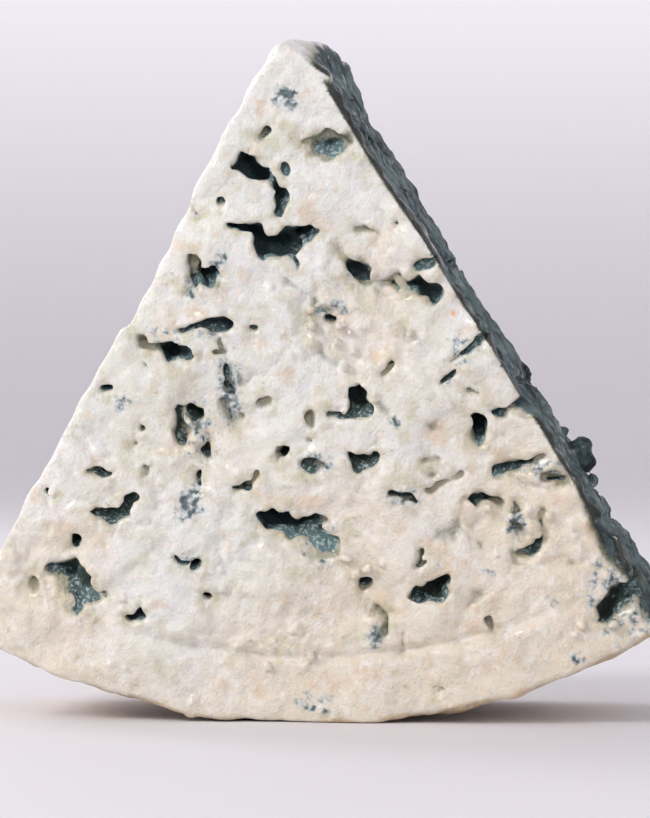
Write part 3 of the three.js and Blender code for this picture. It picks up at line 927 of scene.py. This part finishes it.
stain = covered(STAINS)
in_bloom = covered(IN_BLOOM)
bloomed = in_pit * in_bloom * smooth_step(0.1, 0.9, under_cut)
lining = np.maximum(lining * (1 - covered(BARE)), bloomed)
print("mean lining, with bare pits and bloom:", round(float(lining.mean()), 3))

# %% [markdown]
# ## Masks for the material
#
# Twelve numbers between 0 and 1 go with each vertex. Mould is told by "lining" in the pits,
# "stain" on the front and along the left cut's veins, and "slate" on the right cut.
# "painted_shade" is shade painted on the right edge, the broken tip and the creases. "warm"
# says how warm the paste is, "deep" how far in it lies, used for painted shade in the pits,
# "faces_light" how much it faces the light, used for painted light in the pits, "wall" and
# "bloom" are the pits' bare and powdery walls, "amber" is one orange grain, "near_pit" is the
# paste round a pit and "rind" the dried outside. The material breaks their edges up with finer noise.

# %% Slate, painted shade on the edges and creases, and veins
# The right cut is mould nearly all over; its low far corner by the rind has stayed paste.
slate = on_right * (1 - 0.75 * smooth_step(22, 6, pz) * smooth_step(-6, 10, py))
slate = slate * (1 - smooth_step(84.5, 87.5, pz) * smooth_step(1.6, -0.6, px))
# Along the right edge of the front, where the face rounds away from the light, shade is painted
# in a band that is widest low down; the broken tip gets painted shade, darker towards the right,
# and the creases, less, get painted shade too.
band = 0.6 + 0.4 * at_points(broad) + 0.25 * at_points(rolling)
band = np.clip(band + 2.2 * np.exp(-(((pz - 24) / 6) ** 2)), 0.3, None)
near_front = smooth_step(FRONT_Y + 4.5, FRONT_Y + 2.5, py)
# Painted shade: the band along the right edge, where the face turns away from the light.
painted_shade = smooth_step(-1.0, 0.0, (past_right + 0.2) / band) * near_front * smooth_step(8, 14, pz)
painted_shade = painted_shade * smooth_step(88, 85, pz)
on_flake = smooth_step(-0.6, -0.15, at_points(flake))
# Painted shade on the broken tip, darker towards the right.
painted_shade = np.maximum(painted_shade, on_flake * smooth_step(-2.6, 2.6, px))
creased = at_points(np.broadcast_to(crease, wedge.shape)) * on_front
# Painted shade in the creases between curds.
painted_shade = np.maximum(painted_shade, 0.42 * creased)
gaps = curd_distance(px + at_points(rolling), py + at_points(broad), pz + at_points(curd), 5.5)
vein = smooth_step(0.5, 0.85, gaps) * smooth_step(-0.6, 0.6, at_points(broad)) * on_left
print("mean browned:", round(float(painted_shade.mean()), 3), "veins:", round(float(vein.mean()), 3))

# %% Store the masks
def store(name, values):
    """Keeps one number per vertex under a name that the material can ask for."""
    layer = light_mesh.attributes.new(name, "FLOAT", "POINT")
    layer.data.foreach_set("value", np.clip(values, 0, 1).astype(np.float32))


# Where the broad noise is high, the mould near a pit's mouth is thinner. The paste is warmer
# towards the rind and to the right.
store("lining", lining * (1 - 0.5 * smooth_step(0.9, 1.8, at_points(broad)) * (under_cut < 2)))
store("stain", np.maximum(stain, vein * 0.75) * (1 - lining))
store("slate", slate)
store("painted_shade", painted_shade)
store("warm", 0.62 - 0.0085 * pz + 0.004 * px + 0.14 * at_points(broad))
# Depth under the cut and facing of the light, which the material turns into painted shade and painted
# light in the pits.
store("deep", (under_cut - 0.6) / 2.6)
store("faces_light", faces_light)
store("wall", in_pit * smooth_step(0.0, 1.3, under_cut))
store("bloom", in_bloom)
store("amber", covered([(19.2, 55.2, 0.55, 0.5, 1.0)]))
store("near_pit", 1 - smooth_step(0.2, 2.2, from_pit))
store("rind", np.maximum(on_rind, on_back))
print("mean slate:", round(float(slate.mean()), 3), "stain:", round(float(stain.mean()), 3))

# %% [markdown]
# ## Building a material from small parts
#
# A material is a tree of nodes. These helpers add a node, set its plain values and link what
# feeds it, so that a cell below reads as one sentence about the cheese and not as plumbing.

# %% Node helpers
def linear(red, green, blue):
    """A colour given as 0 to 255 display values, as the linear colour a shader wants."""
    parts = np.array([red, green, blue]) / 255
    low_part, high_part = parts / 12.92, ((parts + 0.055) / 1.055) ** 2.4
    return (*np.where(parts < 0.04045, low_part, high_part).tolist(), 1.0)


def feed(tree, socket, value):
    """Links another node's output to a socket, or sets the socket's own value."""
    if isinstance(value, bpy.types.NodeSocket):
        tree.links.new(value, socket)
    else:
        socket.default_value = value


def math_node(tree, operation, a, b=0.0):
    """One sum on two values or sockets, such as ADD, SUBTRACT, MULTIPLY or MAXIMUM."""
    node = tree.nodes.new("ShaderNodeMath")
    node.operation = operation
    feed(tree, node.inputs[0], a)
    feed(tree, node.inputs[1], b)
    return node.outputs[0]


def scaled(tree, value, by):
    """The value times a number."""
    return math_node(tree, "MULTIPLY", value, by)


def mix_colour(tree, share, a, b):
    """Colour a where share is 0 and colour b where it is 1."""
    node = tree.nodes.new("ShaderNodeMix")
    node.data_type = "RGBA"
    feed(tree, node.inputs["Factor"], share)
    feed(tree, node.inputs[6], a)
    feed(tree, node.inputs[7], b)
    return node.outputs[2]


def mix_value(tree, share, a, b):
    """Value a where share is 0 and value b where it is 1."""
    node = tree.nodes.new("ShaderNodeMix")
    feed(tree, node.inputs[0], share)
    feed(tree, node.inputs[2], a)
    feed(tree, node.inputs[3], b)
    return node.outputs[0]


def ramp(tree, value, start, stop):
    """0 at start and 1 at stop, with a smooth S between, either way round."""
    node = tree.nodes.new("ShaderNodeMapRange")
    node.interpolation_type = "SMOOTHSTEP"
    feed(tree, node.inputs["Value"], value)
    node.inputs["From Min"].default_value = start
    node.inputs["From Max"].default_value = stop
    return node.outputs[0]


def noise(tree, vector, size_mm, detail=3.0, rough=0.55, shift=0.0):
    """Noise with features about size_mm across, on a piece measured in metres."""
    node = tree.nodes.new("ShaderNodeTexNoise")
    node.noise_dimensions = "4D"
    feed(tree, node.inputs["Vector"], vector)
    node.inputs["W"].default_value = shift
    node.inputs["Scale"].default_value = 1 / (size_mm * MM)
    node.inputs["Detail"].default_value = detail
    node.inputs["Roughness"].default_value = rough
    return node.outputs[0]


def mask(tree, name):
    """One of the numbers stored at the vertices."""
    node = tree.nodes.new("ShaderNodeAttribute")
    node.attribute_name = name
    return node.outputs["Fac"]


# %% [markdown]
# ## The cheese
#
# One material covers the wedge, because paste, mould and rind run into each other with no
# edge between them. Separate materials on separate faces would meet in hard lines. It is
# mixed from one colour recipe for each thing that grew, and the masks say where each shows.
# Paste is cream with warmer and greyer clouds, with olive and peach tints and milky spots, and
# it turns olive round a pit. Rind is ivory and tan, with a grey bloom.

# %% Colours of the paste
def paste_colour(tree, place, mottle, clouds, wide):
    """Cream in clouds, warmer towards the rind, with olive and peach tints and milky spots."""
    warm = math_node(tree, "ADD", mask(tree, "warm"), math_node(tree, "SUBTRACT", wide, 0.5))
    cream, milky = linear(224, 224, 214), linear(231, 231, 227)
    colour = mix_colour(tree, ramp(tree, clouds, 0.35, 0.65), cream, milky)
    colour = mix_colour(tree, ramp(tree, warm, 0.0, 0.8), colour, linear(229, 219, 201))
    patches = noise(tree, place, 4.2, detail=4, shift=6)
    peach = scaled(tree, ramp(tree, patches, 0.54, 0.68), 0.6)
    colour = mix_colour(tree, peach, colour, linear(222, 198, 170))
    olive = scaled(tree, ramp(tree, patches, 0.46, 0.34), 0.6)
    colour = mix_colour(tree, olive, colour, linear(206, 200, 172))
    near = math_node(tree, "MULTIPLY", mask(tree, "near_pit"), ramp(tree, mottle, 0.42, 0.62))
    colour = mix_colour(tree, scaled(tree, near, 0.6), colour, linear(198, 190, 156))
    milk = ramp(tree, noise(tree, place, 1.8, detail=3, shift=7), 0.52, 0.66)
    colour = mix_colour(tree, scaled(tree, milk, 0.5), colour, linear(243, 241, 236))
    dull = ramp(tree, noise(tree, place, 2.8, detail=3, shift=10), 0.5, 0.68)
    return mix_colour(tree, scaled(tree, dull, 0.45), colour, linear(204, 196, 178))


# %% Colours of the rind
def rind_colour(tree, place, mottle, clouds, wide):
    """Ivory and tan, with a grey bloom and small grey-green spots."""
    ivory, tan = linear(212, 194, 162), linear(184, 158, 124)
    colour = mix_colour(tree, ramp(tree, mottle, 0.35, 0.7), ivory, tan)
    colour = mix_colour(tree, ramp(tree, clouds, 0.45, 0.65), colour, linear(224, 214, 190))
    grey = scaled(tree, ramp(tree, wide, 0.5, 0.64), 0.5)
    colour = mix_colour(tree, grey, colour, linear(158, 164, 152))
    spots = ramp(tree, noise(tree, place, 2.4, detail=4, shift=12), 0.58, 0.68)
    return mix_colour(tree, scaled(tree, spots, 0.7), colour, linear(118, 124, 110))


# %% [markdown]
# ## Colours of the mould
#
# In a pit the mould goes from near black to teal. It is painted darker where it is deep, as
# painted shade, and painted lighter where a wall faces the key light, as painted light. A pale
# bloom shows in specks, and shows most where lit, so the specks are partly a painted glint. On
# the right cut it is slate, drawn out in lines by the knife. One teal all over would look like
# paint, so painted shade from depth, painted light from facing, and noise are added up first,
# and the sum picks the tone.

# %% Colours of the mould
def mould_colour(tree, place, specks, mottle, wide):
    """Painted shade near black when deep, painted light teal where facing the lamp, pale specks that
    glint where lit, an olive cast in places.
    """
    # The tone is painted light and shade: facing the key light lightens it and depth darkens it, while
    # mottle, specks and bloom vary it for real.
    light_and_bloom = math_node(tree, "SUBTRACT", mask(tree, "faces_light"), mask(tree, "deep"))
    light_and_bloom = math_node(tree, "ADD", scaled(tree, light_and_bloom, 0.6), scaled(tree, mottle, 0.9))
    light_and_bloom = math_node(tree, "ADD", light_and_bloom, scaled(tree, specks, 0.5))
    light_and_bloom = math_node(tree, "ADD", light_and_bloom, scaled(tree, mask(tree, "bloom"), 0.45))
    dark, teal = linear(38, 56, 58), linear(108, 136, 138)
    colour = mix_colour(tree, ramp(tree, light_and_bloom, 0.7, 1.35), dark, teal)
    olive = scaled(tree, ramp(tree, wide, 0.5, 0.62), 0.5)
    colour = mix_colour(tree, olive, colour, linear(62, 70, 56))
    # Pale bloom specks shown only where the tone is lit, so partly a painted glint.
    bloom_and_glint = ramp(tree, noise(tree, place, 0.5, detail=2, shift=8), 0.5, 0.62)
    bloom_and_glint = math_node(tree, "MULTIPLY", bloom_and_glint, ramp(tree, light_and_bloom, 0.8, 1.15))
    return mix_colour(tree, scaled(tree, bloom_and_glint, 0.85), colour, linear(190, 206, 203))


def slate_colour(tree, place, mottle, clouds):
    """Blue slate drawn out in lines that run down the cut, with greyer and darker lines."""
    turned = tree.nodes.new("ShaderNodeMapping")
    turned.inputs["Scale"].default_value = (0.16, 1.0, 0.16)
    feed(tree, turned.inputs["Vector"], place)
    lines = noise(tree, turned.outputs[0], 0.8, detail=4, rough=0.6, shift=9)
    uneven = math_node(tree, "ADD", scaled(tree, mottle, 0.45), scaled(tree, clouds, 0.25))
    lines = math_node(tree, "ADD", scaled(tree, lines, 0.3), uneven)
    dark, slate_blue = linear(30, 42, 46), linear(82, 101, 106)
    colour = mix_colour(tree, ramp(tree, lines, 0.4, 0.57), dark, slate_blue)
    tone = ramp(tree, noise(tree, place, 4.5, detail=4, shift=11), 0.46, 0.62)
    colour = mix_colour(tree, scaled(tree, tone, 0.6), colour, linear(120, 140, 138))
    pale = ramp(tree, lines, 0.53, 0.61)
    colour = mix_colour(tree, scaled(tree, pale, 0.8), colour, linear(174, 184, 178))
    brown = scaled(tree, ramp(tree, clouds, 0.5, 0.66), 0.6)
    return mix_colour(tree, brown, colour, linear(70, 74, 60))


# %% [markdown]
# ## Marks on the paste
#
# Three things mark the bare paste: the walls of pits that no mould lines are olive, partly as
# painted shade deeper in and with painted light where they face the lamp, stains fleck it with
# blue-grey, and along the right edge, on the broken tip and in the creases shade is painted in
# olive and near black. One grain near the right edge is amber. Each mark is its own small step,
# laid over the colour before it, so that one can be changed without the others.

# %% Bare walls with painted light and shade, stains and the painted shade on the edge
def bare_walled(tree, colour, mottle, edge):
    """The colour turned olive into a pit's bare walls, partly real tint and partly painted shade, and
    paler where they face the light, as painted light.
    """
    # The olive grows with depth into the pit: partly the paste's own tint, partly painted shade.
    walled = math_node(tree, "ADD", mask(tree, "wall"), scaled(tree, edge, 0.8))
    # Painted light: the olive is paler where the wall faces the key light.
    lit_side = math_node(tree, "ADD", mask(tree, "faces_light"), scaled(tree, mottle, 1.4))
    dark, pale = linear(84, 86, 62), linear(172, 168, 142)
    olive = mix_colour(tree, ramp(tree, lit_side, 0.6, 1.3), dark, pale)
    return mix_colour(tree, scaled(tree, ramp(tree, walled, 0.1, 1.0), 0.85), colour, olive)


def flecked(tree, place, colour, specks, edge):
    """The colour speckled where the stain, moved by blotches, is high, and dark where highest."""
    blotch = math_node(tree, "SUBTRACT", noise(tree, place, 1.0, detail=1, shift=13), 0.5)
    blotch = math_node(tree, "ADD", scaled(tree, blotch, 1.9), scaled(tree, edge, 0.6))
    moved = math_node(tree, "MULTIPLY", blotch, ramp(tree, mask(tree, "stain"), 0.0, 0.3))
    moved = math_node(tree, "ADD", mask(tree, "stain"), moved)
    blue_grey, pale = linear(120, 138, 142), linear(202, 214, 218)
    speckled = mix_colour(tree, ramp(tree, specks, 0.46, 0.58), blue_grey, pale)
    colour = mix_colour(tree, scaled(tree, ramp(tree, moved, 0.18, 0.6), 0.75), colour, speckled)
    darkest = scaled(tree, ramp(tree, moved, 0.55, 0.8), 0.85)
    return mix_colour(tree, darkest, colour, linear(58, 78, 82))


def darkened(tree, colour, edge):
    """The colour given painted shade in two steps, to olive and then near black, and one amber grain."""
    share = math_node(tree, "ADD", mask(tree, "painted_shade"), scaled(tree, edge, 0.5))
    # Painted shade, olive and then near black, on the right edge, the tip and the creases.
    colour = mix_colour(tree, ramp(tree, share, 0.05, 0.7), colour, linear(98, 98, 72))
    colour = mix_colour(tree, ramp(tree, share, 0.35, 0.8), colour, linear(40, 47, 42))
    return mix_colour(tree, ramp(tree, mask(tree, "amber"), 0.3, 0.7), colour, linear(238, 192, 148))


# %% [markdown]
# ## Shine and depth
#
# Fresh paste is wet, so a thin film shines on it in patches, and light goes a little way into
# it and comes out softened, which a plain colour can't give. Mould and rind are dry and dull
# and have no film. Relief too fine for the mesh is left to a bump.

# %% Gloss, bump and film
def set_gloss(tree, shader, place, mottle, specks, any_mould):
    """Feeds the roughness, bump and film: wet where there is paste, dull where there is not."""
    wet = mix_value(tree, ramp(tree, mottle, 0.4, 0.65), 0.36, 0.52)
    dry = mix_value(tree, mask(tree, "rind"), wet, 0.62)
    feed(tree, shader.inputs["Roughness"], mix_value(tree, any_mould, dry, 0.7))

    paste_height = math_node(tree, "ADD", scaled(tree, mottle, 0.45), scaled(tree, specks, 0.22))
    mould_height = math_node(tree, "ADD", scaled(tree, mottle, 0.4), scaled(tree, specks, 0.35))
    bump = tree.nodes.new("ShaderNodeBump")
    bump.inputs["Distance"].default_value = MM
    feed(tree, bump.inputs["Height"], mix_value(tree, any_mould, paste_height, mould_height))
    feed(tree, shader.inputs["Normal"], bump.outputs[0])

    film = ramp(tree, noise(tree, place, 3.2, detail=5, shift=5), 0.42, 0.6)
    dry_share = math_node(tree, "MAXIMUM", any_mould, mask(tree, "rind"))
    film = math_node(tree, "MULTIPLY", film, math_node(tree, "SUBTRACT", 1.0, dry_share))
    feed(tree, shader.inputs["Coat Weight"], scaled(tree, film, 0.7))


# %% Cheese material
def cheese_material():
    """Paste, its marks, rind, slate and mould laid over each other in that order by masks."""
    material = bpy.data.materials.new("blue_cheese")
    material.use_nodes = True
    tree = material.node_tree
    shader = tree.nodes["Principled BSDF"]
    place = tree.nodes.new("ShaderNodeTexCoord").outputs["Object"]

    specks = noise(tree, place, 0.42, detail=2, shift=1)
    mottle = noise(tree, place, 1.5, detail=4, shift=2)
    clouds = noise(tree, place, 7.0, detail=3, shift=3)
    wide = noise(tree, place, 22.0, detail=2, shift=4)

    # The same fine noise moves the edge of every mask.
    edge = scaled(tree, math_node(tree, "SUBTRACT", mottle, 0.5), 0.9)
    fine_edge = scaled(tree, math_node(tree, "SUBTRACT", specks, 0.5), 0.5)
    edge = math_node(tree, "ADD", edge, fine_edge)
    mouldy = ramp(tree, math_node(tree, "ADD", mask(tree, "lining"), edge), 0.42, 0.62)
    slated = math_node(tree, "ADD", mask(tree, "slate"), scaled(tree, edge, 1.4))
    slaty = ramp(tree, slated, 0.2, 0.65)

    colour = paste_colour(tree, place, mottle, clouds, wide)
    colour = bare_walled(tree, colour, mottle, edge)
    colour = flecked(tree, place, colour, specks, edge)
    colour = darkened(tree, colour, edge)
    colour = mix_colour(tree, mask(tree, "rind"), colour, rind_colour(tree, place, mottle, clouds, wide))
    colour = mix_colour(tree, slaty, colour, slate_colour(tree, place, mottle, clouds))
    colour = mix_colour(tree, mouldy, colour, mould_colour(tree, place, specks, mottle, wide))
    feed(tree, shader.inputs["Base Color"], colour)

    any_mould = math_node(tree, "MAXIMUM", mouldy, slaty)
    set_gloss(tree, shader, place, mottle, specks, any_mould)
    shader.inputs["Coat Roughness"].default_value = 0.14
    shader.inputs["IOR"].default_value = 1.42
    shader.inputs["Subsurface Weight"].default_value = 0.6
    shader.inputs["Subsurface Radius"].default_value = (1.0, 0.68, 0.46)
    shader.inputs["Subsurface Scale"].default_value = 0.45 * MM
    return material


light_mesh.materials.clear()
light_mesh.materials.append(cheese_material())
print("nodes in the cheese:", len(light_mesh.materials[0].node_tree.nodes))
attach(wedge_piece, "root")
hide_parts("cheese_wedge")

# %% [markdown]
# ## Floor
#
# The floor is a wide pale dish: flat under the cheese, curving up far away, so that no line
# cuts the picture, as the paper sweep in a studio does. A plane and a wall would need a corner
# hidden somewhere. Its far wall glows a little, so that it stays pale behind the cheese.

# %% Floor
DISH_FLAT = 1.6
DISH_BEND = 1.0
DISH_TOP = 1.5
FLOOR_COLOUR = linear(228, 224, 226)
WALL_GLOW = (0.42, 0.41, 0.44, 1)
NO_GLOW = (0, 0, 0, 1)


def dish():
    """A profile, flat then a quarter circle then upright, turned round the vertical axis."""
    bend = np.linspace(0, math.pi / 2, 24)
    reach = np.concatenate([[0.02, 0.4, DISH_FLAT], DISH_FLAT + DISH_BEND * np.sin(bend[1:])])
    height = np.concatenate([[0, 0, 0], DISH_BEND * (1 - np.cos(bend[1:]))])
    reach = np.append(reach, DISH_FLAT + DISH_BEND)
    height = np.append(height, DISH_BEND + DISH_TOP)
    turn = np.linspace(0, 2 * math.pi, 96, endpoint=False)
    rings = np.stack(
        [
            np.outer(reach, np.cos(turn)),
            np.outer(reach, np.sin(turn)),
            np.outer(height, np.ones(len(turn))),
        ],
        -1,
    ).reshape(-1, 3)
    vertices = np.vstack([rings, [[0, 0, 0]]])
    i, j = np.meshgrid(np.arange(len(reach) - 1), np.arange(len(turn)), indexing="ij")
    a = (i * len(turn) + j).ravel()
    b = (i * len(turn) + (j + 1) % len(turn)).ravel()
    walls = np.stack([a, a + len(turn), b + len(turn), b], 1)
    first = np.arange(len(turn))
    hub = np.stack([first, (first + 1) % len(turn), np.full(len(turn), len(rings))], 1)
    return vertices, walls.tolist() + hub.tolist()


# %% Place the floor
dish_mesh = bpy.data.meshes.new("floor")
dish_vertices, dish_faces = dish()
dish_mesh.from_pydata(dish_vertices.tolist(), [], dish_faces)
dish_mesh.polygons.foreach_set("use_smooth", [True] * len(dish_mesh.polygons))
floor = new_object("floor", dish_mesh)
floor_material = bpy.data.materials.new("floor")
floor_material.use_nodes = True
floor_shader = floor_material.node_tree.nodes["Principled BSDF"]
floor_shader.inputs["Base Color"].default_value = FLOOR_COLOUR
floor_shader.inputs["Roughness"].default_value = 0.6
floor_place = floor_material.node_tree.nodes.new("ShaderNodeTexCoord").outputs["Object"]
floor_axes = floor_material.node_tree.nodes.new("ShaderNodeSeparateXYZ")
feed(floor_material.node_tree, floor_axes.inputs[0], floor_place)
wall = ramp(floor_material.node_tree, floor_axes.outputs["Z"], 0.0, 0.5)
glow = mix_colour(floor_material.node_tree, wall, NO_GLOW, WALL_GLOW)
feed(floor_material.node_tree, floor_shader.inputs["Emission Color"], glow)
floor_shader.inputs["Emission Strength"].default_value = 1.0
floor_material.cycles.emission_sampling = "NONE"
dish_mesh.materials.append(floor_material)
print("floor faces:", len(dish_mesh.polygons))

# %% [markdown]
# ## Lights
#
# A large soft lamp to the left and in front gives the face its shade, a second behind it
# catches the left cut, and a weak broad one fills from the front. The sky fills the rest with
# a cooler light. Soft lamps are discs, because a point of light would give each curd a hard
# shadow.

# %% Lights
MIDDLE = (0, 0, 0.05)  # where the lamps point, about half way up the wedge
WARM_WHITE = (1.0, 0.99, 0.97)
COOL_WHITE = (0.96, 0.98, 1.0)
SKY_COLOUR = (0.9, 0.93, 1.0, 1.0)
SKY_STRENGTH = 0.4


def area_light(name, place, size, power, colour):
    """A disc of light at a place, of a size in metres and a power in watts, facing MIDDLE."""
    data = bpy.data.lights.new(name, "AREA")
    data.shape = "DISK"
    data.size = size
    data.energy = power
    data.color = colour
    lamp = new_object(name, data)
    lamp.location = place
    facing = np.array(MIDDLE) - np.array(place)
    lamp.rotation_euler = mathutils.Vector(facing).to_track_quat("-Z", "Y").to_euler()
    print("lamp", name, "in watts:", power)


area_light("key", (-0.75, -0.6, 0.7), 0.42, 5.9, WARM_WHITE)
area_light("left_rim", (-0.6, 0.5, 0.5), 0.4, 2.4, COOL_WHITE)
area_light("front_fill", (0.15, -1.2, 0.5), 0.9, 1.35, WARM_WHITE)

world = bpy.data.worlds.new("sky")
world.use_nodes = True
world.node_tree.nodes["Background"].inputs[0].default_value = SKY_COLOUR
world.node_tree.nodes["Background"].inputs[1].default_value = SKY_STRENGTH
bpy.context.scene.world = world

# %% [markdown]
# ## Camera
#
# The camera is level, half a metre from the front face and six degrees round to the right,
# so the right cut shows as a narrow dark band. A long lens keeps the wedge's sides true,
# where a short one would swell the middle. The Standard view keeps a pale cheese pale.

# %% Camera
CAMERA_TURN = math.radians(6)
CAMERA_DISTANCE = 0.5
TARGET = (1.8 * MM, FRONT_Y * MM, 42.4 * MM)
SENSOR_WIDTH = 36  # this and the lens are in millimetres
LENS = 162.8
camera_data = bpy.data.cameras.new("camera")
camera_data.sensor_width = SENSOR_WIDTH
camera_data.lens = LENS
camera = new_object("camera", camera_data)
camera.location = (
    TARGET[0] + CAMERA_DISTANCE * math.sin(CAMERA_TURN),
    TARGET[1] - CAMERA_DISTANCE * math.cos(CAMERA_TURN),
    TARGET[2],
)
camera.rotation_euler = (math.pi / 2, 0, CAMERA_TURN)
bpy.context.scene.camera = camera
bpy.context.scene.view_settings.view_transform = "Standard"
print("camera at, in metres:", [round(part, 3) for part in camera.location])
